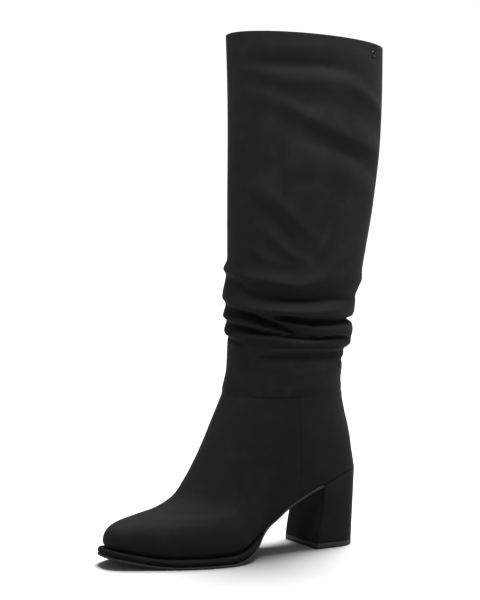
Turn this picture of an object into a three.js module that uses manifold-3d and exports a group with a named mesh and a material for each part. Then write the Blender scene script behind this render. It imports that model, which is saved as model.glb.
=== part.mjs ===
// A woman's knee-high slouch boot for the left foot, with a covered block heel.
// Millimetres, +Z up, toe towards -Y, outer (lateral) side towards +X.
// The pieces are those that a boot maker puts together: outsole, midsole, heel block, top
// piece, insole, the foot part of the upper, the slouched shaft that is lapped over it, and
// one small dome stud at the collar.
//
// Lengths along the boot are measured as "station", the distance forward from the back of
// the heel seat. The row frame's origin is put under the middle of the boot at the end.

import * as THREE from "three";
import { mergeVertices } from "three/addons/utils/BufferGeometryUtils.js";
import Module from "manifold-3d";

const wasm = await Module();
wasm.setup();

// Driving sizes of the foot
const footLength = 243.5; // heel back to toe tip, along the edge where the upper meets the sole
const ballWidth = 83;
const waistWidth = 48;
const heelWidth = 58;
const heelHeight = 70; // floor to the back of the heel seat
const toeSpring = 9; // lift of the sole's underside at the toe tip
const toeSwing = -5; // how far the toe tip lies towards the inner side
const swingFrom = 0.6; // share of the foot's length where that swing begins
const swingEase = 0.8; // below 1, the swing starts sooner and ends more slowly
const toeBoxHeight = 24; // top of the toe above the edge of the sole

// Driving sizes of the leg
const bootHeight = 457; // floor to the collar's front edge
const collarDip = 6; // how much lower the collar's back edge lies
const collarFront = 125.5;
const collarDepth = 155.5;
const collarWidth = 98;
const hemHeight = 140.5; // floor to the shaft's lower edge
const hemLap = 9; // how far the shaft reaches down over the foot part
const ankleFront = 126; // at the foot part's top edge, inside the shaft
const ankleDepth = 109;
const ankleWidth = 82;
const slouch = 5.5; // how far the fullest roll of the slouched shaft stands proud

// Thicknesses and margins
const upperWall = 1.6;
const shaftWall = 1.3;
const lastingMargin = 11; // the upper's edge that is turned in under the insole
const outsoleThickness = 2.4;
const midsoleThickness = 5.2;
const insoleThickness = 3;
const insoleEase = 0.5; // clearance under the insole and round its edge
const insoleBevel = 1.2; // how much smaller its top is than its underside
const topPieceThickness = 5;
const rim = 5; // how far the sole's edge stands out round the forefoot
const waistRim = 0.2; // how far it stands out at the waist
const rimFrom = 0.4; // share of the foot's length where the rim begins
const rimFull = 0.54; // and where it is full
const edgeBevel = 0.7;
const leastMidsole = 0.1; // the midsole's skived end
const midsoleSkive = 0.12; // share of its taper that is cut away, where it is too thin
const joint = 0.3; // clearance left between pieces that are glued or sewn together
const lapEase = 0.1; // more of it inside the hem, for the turned edge beneath

// Heel block, given by its foot and its breast
const heelBase = { back: 4.8, front: 52.3, width: 56, corner: 22, square: 2.2 };
const breastStation = 45.6; // where the breast meets the outsole

// Stud
const studRadius = 3;
const studRise = 1.6;
const studBelowCollar = 9;
const studBearing = 128; // degrees round from the front, over the outer side

const ROUND = 56; // points round the foot pieces
const SHAFT_ROUND = 38; // points round the shaft
const STUD_ROUND = 20; // points round the stud
const endCrowding = 0.125; // how much closer the foot's points lie towards heel and toe
const weld = 1e-4; // points closer than this are one

const lerp = (a, b, t) => a + (b - a) * t;
const clamp01 = (t) => Math.min(1, Math.max(0, t));
const smooth = (t) => clamp01(t) ** 2 * (3 - 2 * clamp01(t));
const radians = (degrees) => (degrees * Math.PI) / 180;

// A smooth curve through table rows that never swings past a row: cubic, with the slope at a
// row set to zero at a peak or flat, and to the harmonic mean of its neighbours elsewhere.
function through(rows, from, to) {
  const xs = rows.map((row) => row[from]);
  const ys = rows.map((row) => row[to]);
  const steps = xs.slice(1).map((x, i) => (ys[i + 1] - ys[i]) / (x - xs[i]));
  const slopes = xs.map((_, i) => {
    const before = steps[i - 1] ?? steps[i];
    const after = steps[i] ?? steps[i - 1];
    return before * after <= 0 ? 0 : (2 * before * after) / (before + after);
  });
  return (x) => {
    if (x <= xs[0]) return ys[0];
    if (x >= xs.at(-1)) return ys.at(-1);
    const i = xs.findIndex((right) => right > x) - 1;
    const span = xs[i + 1] - xs[i];
    const t = (x - xs[i]) / span;
    const rise = ys[i + 1] - ys[i];
    const a = slopes[i] * span - rise;
    const b = -slopes[i + 1] * span + rise;
    return ys[i] + t * rise + t * (1 - t) * ((1 - t) * a + t * b);
  };
}

// Rounds the two ends of a long section: 0 at both ends, 1 in the middle. A squareness of 2
// gives an ellipse, and more gives blunter ends.
const rounded = (share, squareness) =>
  (1 - Math.abs(2 * share - 1) ** squareness) ** (1 / squareness);

// Share of the way from the back to the front for each point of a long ring: the points lie
// close together at the two ends, where the outline turns
const pointShare = (turn) => (1 - Math.cos(turn + endCrowding * Math.sin(2 * turn))) / 2;

// Half-widths of the last's bottom at shares of its length, as shares of one of its widths
const footprint = [
  { station: 0.0, outer: 0.57, inner: 0.57, of: heelWidth },
  { station: 0.06, outer: 0.615, inner: 0.605, of: heelWidth },
  { station: 0.124, outer: 0.6, inner: 0.59, of: heelWidth },
  { station: 0.186, outer: 0.55, inner: 0.53, of: heelWidth },
  { station: 0.25, outer: 0.6, inner: 0.55, of: waistWidth },
  { station: 0.33, outer: 0.55, inner: 0.44, of: waistWidth },
  { station: 0.4, outer: 0.55, inner: 0.405, of: waistWidth },
  { station: 0.44, outer: 0.6, inner: 0.41, of: waistWidth },
  { station: 0.517, outer: 0.47, inner: 0.3, of: ballWidth },
  { station: 0.565, outer: 0.535, inner: 0.355, of: ballWidth },
  { station: 0.63, outer: 0.562, inner: 0.405, of: ballWidth },
  { station: 0.7, outer: 0.55, inner: 0.438, of: ballWidth },
  { station: 0.78, outer: 0.505, inner: 0.44, of: ballWidth },
  { station: 0.868, outer: 0.43, inner: 0.41, of: ballWidth },
  { station: 0.93, outer: 0.375, inner: 0.365, of: ballWidth },
  { station: 1.0, outer: 0.33, inner: 0.33, of: ballWidth },
].map((row) => ({ ...row, outer: row.outer * row.of, inner: row.inner * row.of }));
const outerHalf = through(footprint, "station", "outer");
const innerHalf = through(footprint, "station", "inner");
const footprintSquareness = 3;
const centreLine = (station) => {
  const along = (station / footLength - swingFrom) / (1 - swingFrom);
  return toeSwing * smooth(along) ** swingEase;
};

// Underside of the outsole: it drops from the seat to the floor, lies flat at the ball, and
// lifts again under the toe. Rise is a share of the heel height, spring of the toe spring.
const bottomRows = [
  { station: 0.0, rise: 1.0, spring: 0 },
  { station: 0.087, rise: 0.965, spring: 0 },
  { station: 0.12, rise: 0.922, spring: 0 },
  { station: 0.15, rise: 0.878, spring: 0 },
  { station: 0.182, rise: 0.832, spring: 0 },
  { station: 0.223, rise: 0.777, spring: 0 },
  { station: 0.256, rise: 0.72, spring: 0 },
  { station: 0.29, rise: 0.654, spring: 0 },
  { station: 0.337, rise: 0.556, spring: 0 },
  { station: 0.376, rise: 0.455, spring: 0 },
  { station: 0.409, rise: 0.376, spring: 0 },
  { station: 0.438, rise: 0.302, spring: 0 },
  { station: 0.465, rise: 0.232, spring: 0 },
  { station: 0.5, rise: 0.142, spring: 0 },
  { station: 0.54, rise: 0.062, spring: 0 },
  { station: 0.58, rise: 0.017, spring: 0 },
  { station: 0.625, rise: 0, spring: 0 },
  { station: 0.79, rise: 0, spring: 0 },
  { station: 0.86, rise: 0, spring: 0.12 },
  { station: 0.93, rise: 0, spring: 0.45 },
  { station: 1.02, rise: 0, spring: 1.0 },
];
const seatRise = through(bottomRows, "station", "rise");
const toeLift = through(bottomRows, "station", "spring");
const undersideDrop = heelHeight - outsoleThickness - joint;
const underside = (station) =>
  undersideDrop * seatRise(station / footLength) + toeSpring * toeLift(station / footLength);
const outsoleTop = (station) => underside(station) + outsoleThickness;

// The midsole lies between outsole and upper under the forefoot, and thins out at the waist
const layerStart = 0.435 * footLength;
const layerFull = 0.56 * footLength;
const layerAt = (station) => {
  const share = clamp01((station - layerStart) / (layerFull - layerStart));
  return (midsoleThickness + joint) * share * (2 - share);
};
const featherHeight = (station) => outsoleTop(station) + layerAt(station) + joint;

// One ring of points round the last's bottom, from the back over the outer side to the toe
// and back over the inner side. Spread moves it outwards, and level gives its height.
function planRing({ spread = 0, spreadAt = () => spread, level, lift = 0 }) {
  const points = [];
  for (let j = 0; j < ROUND; j++) {
    const turn = (2 * Math.PI * j) / ROUND;
    const share = pointShare(turn);
    const station = share * footLength;
    const side = Math.sin(turn) < 0 ? -1 : 1;
    const half = (side > 0 ? outerHalf : innerHalf)(share) * rounded(share, footprintSquareness);
    points.push(new THREE.Vector2(centreLine(station) + side * half, station));
  }
  return points.map((point, j) => {
    const before = points[(j + ROUND - 1) % ROUND];
    const after = points[(j + 1) % ROUND];
    const outward = new THREE.Vector2(after.y - before.y, before.x - after.x).normalize();
    const moved = point.clone().addScaledVector(outward, spreadAt(point.y));
    return new THREE.Vector3(moved.x, moved.y, level(moved.y) + lift);
  });
}

// Row frame from boot coordinates: station runs forward, and the toe points to -Y
const toRow = (point) => new THREE.Vector3(point.x, -point.y, point.z);

function meshData(vertices, triangles) {
  const geometry = new THREE.BufferGeometry();
  geometry.setAttribute(
    "position",
    new THREE.Float32BufferAttribute(vertices.map(toRow).flatMap((v) => v.toArray()), 3),
  );
  geometry.setIndex(triangles);
  return geometry;
}

// A slab: rings stacked from its underside to its top, each closed by strips across it
function slab(rings) {
  const count = rings[0].length;
  const triangles = [];
  for (let i = 0; i + 1 < rings.length; i++)
    for (let j = 0; j < count; j++) {
      const a = i * count + j;
      const b = i * count + ((j + 1) % count);
      triangles.push(a, a + count, b, b, a + count, b + count);
    }
  const top = (rings.length - 1) * count;
  for (let j = 0; j < count / 2; j++) {
    const near = [j, j + 1];
    const far = [(count - j) % count, (count - j - 1) % count];
    if (near[0] !== far[0]) {
      triangles.push(near[0], near[1], far[0]);
      triangles.push(top + near[0], top + far[0], top + near[1]);
    }
    if (near[1] !== far[1]) {
      triangles.push(near[1], far[1], far[0]);
      triangles.push(top + near[1], top + far[0], top + far[1]);
    }
  }
  return meshData(rings.flat(), triangles);
}

// A tube with a wall: rings that run down the outside, under the edge and up the inside
function tube(rings) {
  const count = rings[0].length;
  const triangles = [];
  rings.forEach((_, i) => {
    const next = ((i + 1) % rings.length) * count;
    for (let j = 0; j < count; j++) {
      const a = i * count + j;
      const b = i * count + ((j + 1) % count);
      const c = next + j;
      const d = next + ((j + 1) % count);
      triangles.push(a, b, c, b, d, c);
    }
  });
  return meshData(rings.flat(), triangles);
}

// The inside of a wall: each point of the stacked rings moved in along the surface's normal
function insideOf(rings, wall) {
  const count = rings[0].length;
  return rings.map((ring, i) => {
    const above = rings[Math.min(i + 1, rings.length - 1)];
    const below = rings[Math.max(i - 1, 0)];
    return ring.map((point, j) => {
      const along = ring[(j + 1) % count].clone().sub(ring[(j + count - 1) % count]);
      const up = above[j].clone().sub(below[j]);
      const normal = along.cross(up).normalize();
      return point.clone().addScaledVector(normal, -wall);
    });
  });
}

function solidOf(geometry) {
  const bare = geometry.clone();
  bare.deleteAttribute("normal");
  bare.deleteAttribute("uv");
  const merged = mergeVertices(bare, weld);
  return new wasm.Manifold(
    new wasm.Mesh({
      numProp: 3,
      vertProperties: merged.attributes.position.array,
      triVerts: new Uint32Array(merged.index.array),
    }),
  );
}

function geometryOf(solid) {
  const { vertProperties, triVerts } = solid.getMesh();
  const geometry = new THREE.BufferGeometry();
  geometry.setAttribute("position", new THREE.BufferAttribute(vertProperties, 3));
  geometry.setIndex(new THREE.BufferAttribute(triVerts, 1));
  return geometry;
}

// A block that spans the boot's width between two stations, used to cut pieces across
function crossBlock(fromStation, toStation) {
  const reach = 3 * ballWidth;
  const length = toStation - fromStation;
  const block = new THREE.BoxGeometry(reach, length, reach);
  return solidOf(block.translate(0, -(fromStation + length / 2), 0));
}

// Foot part of the upper. Each row is a section from the edge of the sole up to the ankle,
// slanted at first and level at the last. Its back end lies between heel seat and ankle: tuck
// is how far it has moved forward, lift how far it has risen. Its front end lies between
// ankle and toe: reach is how far it stretches out, box its height up the toe box, and instep
// its height from there to the ankle. Level takes out the curve of the sole, and leg turns
// the footprint into the ankle's ellipse. Swell is the fullness beside the foot, as a share
// of the ball width. Square is the bluntness of its front end, and blunt that of its back end.
const upperSections = [
  { tuck: 0, lift: 0, reach: 1, box: 0, instep: 0, level: 0, leg: 0,
    swell: 0, square: 3, blunt: 3 },
  { tuck: 0.05, lift: 0.04, reach: 1.006, box: 0.18, instep: 0, level: 0, leg: 0.02,
    swell: 0.012, square: 2.95, blunt: 2.95 },
  { tuck: 0.1, lift: 0.1, reach: 0.998, box: 0.43, instep: 0, level: 0.04, leg: 0.07,
    swell: 0.018, square: 2.85, blunt: 2.9 },
  { tuck: 0.15, lift: 0.17, reach: 0.968, box: 0.66, instep: 0, level: 0.12, leg: 0.14,
    swell: 0.016, square: 2.65, blunt: 2.8 },
  { tuck: 0.19, lift: 0.245, reach: 0.9, box: 0.85, instep: 0, level: 0.22, leg: 0.23,
    swell: 0.01, square: 2.4, blunt: 2.7 },
  { tuck: 0.23, lift: 0.32, reach: 0.775, box: 1, instep: 0, level: 0.34, leg: 0.32,
    swell: 0, square: 2.2, blunt: 2.6 },
  { tuck: 0.29, lift: 0.395, reach: 0.61, box: 1, instep: 0.04, level: 0.47, leg: 0.42,
    swell: -0.01, square: 2.05, blunt: 2.5 },
  { tuck: 0.37, lift: 0.47, reach: 0.46, box: 1, instep: 0.12, level: 0.6, leg: 0.52,
    swell: -0.01, square: 2, blunt: 2.4 },
  { tuck: 0.46, lift: 0.545, reach: 0.357, box: 1, instep: 0.247, level: 0.72, leg: 0.62,
    swell: 0, square: 2, blunt: 2.3 },
  { tuck: 0.555, lift: 0.62, reach: 0.272, box: 1, instep: 0.388, level: 0.82, leg: 0.72,
    swell: 0, square: 2, blunt: 2.2 },
  { tuck: 0.64, lift: 0.697, reach: 0.198, box: 1, instep: 0.532, level: 0.9, leg: 0.81,
    swell: 0, square: 2, blunt: 2.12 },
  { tuck: 0.72, lift: 0.772, reach: 0.135, box: 1, instep: 0.668, level: 0.96, leg: 0.9,
    swell: 0, square: 2, blunt: 2.05 },
  { tuck: 0.775, lift: 0.825, reach: 0.08, box: 1, instep: 0.79, level: 0.99, leg: 0.96,
    swell: 0, square: 2, blunt: 2 },
];
const ankleTop = hemHeight + hemLap;
const ankleBack = ankleFront - ankleDepth;
const heelLean = 0.3; // how far the back leans forward per millimetre, up at the hem
const instepLean = 0.38; // how far the front leans back per millimetre, up at the hem
const underLap = 2; // the level section just under the hem

// A long ring between a back and a front point, closed over both sides
function longRing(section) {
  const { back, front, backZ, frontZ, halfAt, square, blunt } = section;
  const { sagAt = () => 0, centreAt = () => 0 } = section;
  const ring = [];
  for (let j = 0; j < ROUND; j++) {
    const turn = (2 * Math.PI * j) / ROUND;
    const share = pointShare(turn);
    const station = lerp(back, front, share);
    const side = Math.sin(turn) < 0 ? -1 : 1;
    const half = halfAt(station, side) * rounded(share, share < 0.5 ? blunt : square);
    const z = lerp(backZ, frontZ, share) + sagAt(share);
    ring.push(new THREE.Vector3(centreAt(station) + side * half, station, z));
  }
  return ring;
}

function slantedRing(row) {
  const seat = featherHeight(0);
  const toe = featherHeight(footLength);
  const toeTop = toe + toeBoxHeight;
  const footHalf = (station, side) =>
    (side > 0 ? outerHalf : innerHalf)(station / footLength) + row.swell * ballWidth;
  return longRing({
    back: ankleBack * row.tuck,
    front: lerp(ankleFront, footLength, row.reach),
    backZ: lerp(seat, ankleTop, row.lift),
    frontZ: lerp(toe, toeTop, row.box) + row.instep * (ankleTop - toeTop),
    halfAt: (station, side) => lerp(footHalf(station, side), ankleWidth / 2, row.leg),
    square: row.square,
    blunt: row.blunt,
    sagAt: (share) =>
      (1 - row.level) * (featherHeight(share * footLength) - lerp(seat, toe, share)),
    centreAt: (station) => centreLine(station) * (1 - row.leg),
  });
}

// A level ankle section, at a drop below the foot part's top edge and a stand-off from it
function ankleRing(drop, standOff = 0) {
  const z = ankleTop - drop;
  return longRing({
    back: ankleBack - heelLean * drop - standOff,
    front: ankleFront + instepLean * drop + standOff,
    backZ: z,
    frontZ: z,
    halfAt: () => ankleWidth / 2 + standOff,
    square: 2,
    blunt: 2,
  });
}

function upperPiece() {
  const level = [ankleRing(hemLap + underLap), ankleRing(0)];
  const outside = [...upperSections.map(slantedRing), ...level];
  const inside = insideOf(outside, upperWall);
  inside[0] = planRing({ spread: -upperWall, level: featherHeight, lift: upperWall });
  const turnedIn = { spread: -lastingMargin, level: featherHeight };
  const under = [planRing(turnedIn), planRing({ ...turnedIn, lift: upperWall })];
  return tube([...outside.toReversed(), ...under, ...inside]);
}

// Shaft. Rows are its level sections at shares of its height above the hem. Bow is how far the
// front runs ahead of a straight line from hem to collar, as a share of the collar's depth.
// Calf is how far the back has left the ankle for the collar, and width likewise. Tilt is how
// much higher a ring lies in front than at the back, as a share of the shaft's height.
const shaftRows = [
  { height: 0, bow: 0, calf: 0, width: 0, tilt: 0 },
  { height: 0.028, bow: -0.017, calf: -0.03, width: -0.02, tilt: 0 },
  { height: 0.07, bow: -0.037, calf: -0.035, width: -0.01, tilt: 0.006 },
  { height: 0.11, bow: -0.041, calf: -0.01, width: 0.04, tilt: 0.02 },
  { height: 0.17, bow: -0.045, calf: 0.13, width: 0.16, tilt: 0.036 },
  { height: 0.25, bow: -0.037, calf: 0.26, width: 0.3, tilt: 0.034 },
  { height: 0.33, bow: -0.033, calf: 0.43, width: 0.44, tilt: 0.024 },
  { height: 0.41, bow: -0.031, calf: 0.56, width: 0.56, tilt: 0.012 },
  { height: 0.55, bow: -0.026, calf: 0.765, width: 0.75, tilt: 0.008 },
  { height: 0.73, bow: -0.022, calf: 0.94, width: 0.88, tilt: 0.012 },
  { height: 0.88, bow: -0.013, calf: 0.99, width: 0.96, tilt: 0.017 },
  { height: 1, bow: 0, calf: 1, width: 1, tilt: 0.019 },
];
const bowAt = through(shaftRows, "height", "bow");
const calfAt = through(shaftRows, "height", "calf");
const widthAt = through(shaftRows, "height", "width");
const tiltAt = through(shaftRows, "height", "tilt");
const shaftHeight = bootHeight - hemHeight;
const collarBack = collarFront - collarDepth;
const shaftStandOff = shaftWall + joint + lapEase;
const hemFront = ankleFront + instepLean * hemLap + shaftStandOff;
const hemBack = ankleBack - heelLean * hemLap - shaftStandOff;
const hemHalf = ankleWidth / 2 + shaftStandOff;

// Slouch folds. Crest is the height of the roll's crest as a share of the shaft's height, at
// the front, outer side, back and inner side. Full is how far it stands proud at the same
// four places, as a share of the slouch. Over and under are its fades above and below the
// crest, as shares of the shaft's height: a roll sags, so it is short underneath. A negative
// full is a crease.
const folds = [
  { crest: [0.354, 0.322, 0.31, 0.33], full: [0.5, 0.4, 0.3, 0.3], over: 0.03, under: 0.024 },
  { crest: [0.315, 0.276, 0.285, 0.3], full: [0.3, -0.7, -0.2, -0.4], over: 0.026, under: 0.02 },
  { crest: [0.272, 0.244, 0.24, 0.26], full: [0.85, 1.0, -0.1, 0.8], over: 0.032, under: 0.02 },
  { crest: [0.243, 0.207, 0.202, 0.228], full: [0.1, -0.95, -0.85, -0.8], over: 0.012, under: 0.012 },
  { crest: [0.217, 0.19, 0.176, 0.207], full: [0.8, 0.5, 0.85, 0.6], over: 0.018, under: 0.015 },
  { crest: [0.198, 0.163, 0.156, 0.18], full: [0.3, -0.85, 0.3, -0.7], over: 0.012, under: 0.01 },
  { crest: [0.178, 0.15, 0.14, 0.162], full: [0.3, 0.6, 0.65, 0.7], over: 0.014, under: 0.012 },
];

// Value at a bearing from its values at the front, outer side, back and inner side
function roundAbout(four, bearing) {
  const [front, outer, back, inner] = four;
  const c = Math.cos(bearing);
  const s = Math.sin(bearing);
  const sideways = s > 0 ? outer : inner;
  return (c > 0 ? front : back) * c * c + sideways * s * s;
}

function foldStandOff(height, bearing) {
  const total = folds.reduce((sum, fold) => {
    const away = height - roundAbout(fold.crest, bearing);
    const fade = Math.abs(away) / (away > 0 ? fold.over : fold.under);
    return sum + roundAbout(fold.full, bearing) * Math.exp(-fade * fade);
  }, 0);
  return slouch * total;
}

// Heights of the shaft's rings as shares: close together through the slouch
const slouchFrom = 0.12;
const slouchTo = 0.375;
const slouchRings = 26;
const shaftSteps = [0, 0.028, 0.06, 0.09];
for (let i = 0; i <= slouchRings; i++)
  shaftSteps.push(lerp(slouchFrom, slouchTo, i / slouchRings));
shaftSteps.push(0.42, 0.49, 0.58, 0.68, 0.78, 0.87, 0.95, 1);

// A point of the shaft's outside, at a share of its height and a turn from the back
function shaftPoint(height, turn) {
  const front = lerp(hemFront, collarFront, height) + bowAt(height) * collarDepth;
  const back = lerp(hemBack, collarBack, calfAt(height));
  const half = lerp(hemHalf, collarWidth / 2, widthAt(height));
  const share = (1 - Math.cos(turn)) / 2;
  const away = tiltAt(height) * (share - 0.5) - (0.5 * collarDip * height) / shaftHeight;
  const z = hemHeight + shaftHeight * (height + away);
  const plan = new THREE.Vector2(Math.sin(turn) * half, lerp(back, front, share));
  const outward = new THREE.Vector2(Math.sin(turn) / half, -Math.cos(turn) / ((front - back) / 2));
  plan.addScaledVector(outward.normalize(), foldStandOff(height + away, Math.PI - turn));
  return new THREE.Vector3(plan.x, plan.y, z);
}

function shaftRing(height) {
  const ring = [];
  for (let j = 0; j < SHAFT_ROUND; j++)
    ring.push(shaftPoint(height, (2 * Math.PI * j) / SHAFT_ROUND));
  return ring;
}

function shaftPiece() {
  const outside = shaftSteps.map(shaftRing);
  const inside = insideOf(outside, shaftWall);
  return tube([...outside.toReversed(), ...inside]);
}

// Soles. The edge stands out round the forefoot and is flush with the upper at the waist.
const soleSpread = (station) => {
  const along = (station / footLength - rimFrom) / (rimFull - rimFrom);
  return lerp(waistRim, rim, smooth(along));
};
const edgeAt = (inset) => (station) => soleSpread(station) - inset;

function outsolePiece() {
  const whole = slab([
    planRing({ spreadAt: edgeAt(edgeBevel), level: underside }),
    planRing({ spreadAt: edgeAt(0), level: underside, lift: edgeBevel }),
    planRing({ spreadAt: edgeAt(0), level: outsoleTop }),
  ]);
  return geometryOf(solidOf(whole).subtract(crossBlock(-footLength, breastStation)));
}

// Midsole edge from its underside up: its inset, and the share of the midsole's thickness
const midsoleEdge = [
  { inset: 0.5, share: 0 },
  { inset: 0, share: 0.25 },
  { inset: 0, share: 0.75 },
  { inset: 0.8, share: 1 },
];
const midsoleEnd = lerp(layerStart, layerFull, midsoleSkive);
function midsolePiece() {
  const thickness = (station) => Math.max(leastMidsole, layerAt(station) - joint);
  const at = (share) => (station) => outsoleTop(station) + joint + share * thickness(station);
  const rings = midsoleEdge.map((row) =>
    planRing({ spreadAt: edgeAt(row.inset), level: at(row.share) }),
  );
  return geometryOf(solidOf(slab(rings)).subtract(crossBlock(-footLength, midsoleEnd)));
}

function insolePiece() {
  const spread = -(upperWall + insoleEase);
  const bottom = upperWall + insoleEase;
  return slab([
    planRing({ spread, level: featherHeight, lift: bottom }),
    planRing({
      spread: spread - insoleBevel,
      level: featherHeight,
      lift: bottom + insoleThickness,
    }),
  ]);
}

// Heel block: its top follows the seat, its foot is a block with rounded back corners. Down is
// the share of its height below the seat. Foot is how far its outline has turned into its
// foot's, and front how far the breast has moved forward to its foot.
const heelSections = [
  { down: 0.0, foot: 0.0, front: 0.0 },
  { down: 0.2, foot: 0.2, front: 0.04 },
  { down: 0.4, foot: 0.42, front: 0.16 },
  { down: 0.6, foot: 0.64, front: 0.42 },
  { down: 0.8, foot: 0.84, front: 0.74 },
  { down: 1.0, foot: 1.0, front: 1.0 },
];
const heelFootHeight = topPieceThickness + joint;
const seatEase = 0.35; // the heel's top is hollowed this little below the seat
const heelSide = 12; // points from the back round to the breast
const breastPoints = 4; // points across the breast

function heelRing({ down, foot, front }) {
  const breast = breastStation - joint;
  const seatHalf = (station) =>
    outerHalf(station / footLength) * rounded(station / footLength, footprintSquareness);
  const footLengthwise = heelBase.front - heelBase.back;
  const footHalf = (forward) => {
    const share = clamp01(1 - forward / heelBase.corner);
    return (heelBase.width / 2) * (1 - share ** heelBase.square) ** (1 / heelBase.square);
  };
  const side = [];
  for (let k = 0; k <= heelSide; k++) {
    const along = 1 - Math.cos((Math.PI / 2) * (k / heelSide));
    const top = new THREE.Vector3(seatHalf(breast * along), breast * along, 0);
    top.z = outsoleTop(top.y) - seatEase;
    const forward = footLengthwise * along;
    const low = new THREE.Vector3(footHalf(forward), heelBase.back + forward, heelFootHeight);
    const station = lerp(top.y, low.y, lerp(foot, front, along));
    side.push(new THREE.Vector3(lerp(top.x, low.x, foot), station, lerp(top.z, low.z, down)));
  }
  const corner = side.at(-1);
  const across = [];
  for (let k = 1; k <= breastPoints; k++) {
    const x = corner.x * (1 - (2 * k) / (breastPoints + 1));
    across.push(new THREE.Vector3(x, corner.y, corner.z));
  }
  const inner = side.slice(1).toReversed().map((p) => new THREE.Vector3(-p.x, p.y, p.z));
  return [...side, ...across, ...inner];
}

const heelPiece = () => slab(heelSections.map(heelRing).toReversed());

function topPiece() {
  const outline = heelRing(heelSections.at(-1));
  const at = (z) => outline.map((p) => new THREE.Vector3(p.x, p.y, z));
  return slab([at(0), at(topPieceThickness)]);
}

// Stud: a dome with a flat back, its axis square to the shaft where it is fixed
const studProfile = [
  { radius: 0, rise: 0 },
  { radius: 1, rise: 0 },
  { radius: 0.94, rise: 0.42 },
  { radius: 0.72, rise: 0.78 },
  { radius: 0.4, rise: 0.96 },
  { radius: 0, rise: 1 },
];
function studPiece() {
  const points = studProfile.map(
    (row) => new THREE.Vector2(row.radius * studRadius, row.rise * studRise),
  );
  const turn = Math.PI - radians(studBearing);
  const aside = turn + radians(0.5);
  const height = 1 - studBelowCollar / shaftHeight;
  const seat = toRow(shaftPoint(height, turn));
  const beside = toRow(shaftPoint(height, aside)).sub(seat);
  const outward = new THREE.Vector3(-beside.y, beside.x, 0).normalize();
  seat.addScaledVector(outward, joint);
  const dome = new THREE.LatheGeometry(points, STUD_ROUND);
  const lean = new THREE.Quaternion();
  dome.applyQuaternion(lean.setFromUnitVectors(THREE.Object3D.DEFAULT_UP, outward));
  return dome.translate(seat.x, seat.y, seat.z);
}

const boot = new THREE.Group();
const covering = { color: 0x1b1b1c, roughness: 0.92, metalness: 0 };
const rubber = { color: 0x3f4042, roughness: 0.7, metalness: 0 };

function addPiece(name, geometry, look) {
  const mesh = new THREE.Mesh(geometry, new THREE.MeshStandardMaterial(look));
  mesh.name = name;
  boot.add(mesh);
}

addPiece("upper", upperPiece(), covering);
addPiece("shaft", shaftPiece(), covering);
addPiece("heel", heelPiece(), covering);
addPiece("outsole", outsolePiece(), rubber);
addPiece("midsole", midsolePiece(), { color: 0x202021, roughness: 0.75, metalness: 0 });
addPiece("top_piece", topPiece(), rubber);
addPiece("insole", insolePiece(), { color: 0x2a2826, roughness: 0.8, metalness: 0 });
addPiece("stud", studPiece(), { color: 0x26262a, roughness: 0.4, metalness: 0.6 });

// The row frame's origin lies on the floor under the middle of the boot's extent
const extent = new THREE.Box3().setFromObject(boot, true);
const middle = extent.getCenter(new THREE.Vector3());
boot.position.set(-middle.x, -middle.y, -extent.min.z);

export default boot;
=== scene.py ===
# A knee-high slouch boot for the left foot, in matt black, with a covered block heel.
# The sections follow the boot from the ground up: outsole, midsole, heel and its top piece,
# insole, the foot part of the upper, the slouched shaft, the stud, then floor, light and camera.
import math

import bpy
import numpy as np
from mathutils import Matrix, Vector


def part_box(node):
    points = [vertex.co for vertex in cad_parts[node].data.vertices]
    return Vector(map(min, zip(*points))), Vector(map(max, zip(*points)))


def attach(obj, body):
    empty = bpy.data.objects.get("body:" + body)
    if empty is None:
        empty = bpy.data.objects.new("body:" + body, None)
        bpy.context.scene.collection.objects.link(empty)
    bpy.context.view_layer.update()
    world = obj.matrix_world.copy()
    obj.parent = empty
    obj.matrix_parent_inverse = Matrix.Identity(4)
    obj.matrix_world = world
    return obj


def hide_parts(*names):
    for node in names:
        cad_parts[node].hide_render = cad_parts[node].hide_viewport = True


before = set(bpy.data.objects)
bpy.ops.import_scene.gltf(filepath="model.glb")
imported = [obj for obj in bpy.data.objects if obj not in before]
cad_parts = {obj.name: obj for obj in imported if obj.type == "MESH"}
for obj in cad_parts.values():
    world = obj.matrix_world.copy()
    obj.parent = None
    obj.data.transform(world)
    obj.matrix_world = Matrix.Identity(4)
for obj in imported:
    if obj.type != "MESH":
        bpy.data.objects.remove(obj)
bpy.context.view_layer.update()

# OUTSOLE. A thin sheet of dark rubber under the whole sole, cut from the roll and trimmed
# on the edge by a scouring wheel. It is cemented on, stops against the heel's breast, and
# its ground edge looks lighter and a little glossier than the upper.
foot_length = 243.5
ball_width = 83.0
waist_width = 48.0
heel_width = 58.0
heel_height = 70.0
toe_spring = 9.0
toe_swing = -5.0
outsole_thickness = 2.4
midsole_thickness = 5.2
joint = 0.3
rim = 5.0
breast_station = 45.6
heel_back = 4.8
sole_columns = 420

# The boot's own zero is the back of the heel seat. The top piece shows where that lies.
top_piece_low, top_piece_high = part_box("top_piece")
zero_x = 500 * (top_piece_low.x + top_piece_high.x)
zero_y = 1000 * top_piece_high.y + heel_back

# Half-widths of the last's bottom at shares of its length, as shares of one of its widths
last_bottom = {
    "station": [0, 0.06, 0.124, 0.186, 0.25, 0.33, 0.4, 0.44],
    "outer": [0.57, 0.615, 0.6, 0.55, 0.6, 0.55, 0.55, 0.6],
    "inner": [0.57, 0.605, 0.59, 0.53, 0.55, 0.44, 0.405, 0.41],
    "of": [heel_width] * 4 + [waist_width] * 4 + [ball_width] * 8,
}
last_bottom["station"] += [0.517, 0.565, 0.63, 0.7, 0.78, 0.868, 0.93, 1]
last_bottom["outer"] += [0.47, 0.535, 0.562, 0.55, 0.505, 0.43, 0.375, 0.33]
last_bottom["inner"] += [0.3, 0.355, 0.405, 0.438, 0.44, 0.41, 0.365, 0.33]

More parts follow.
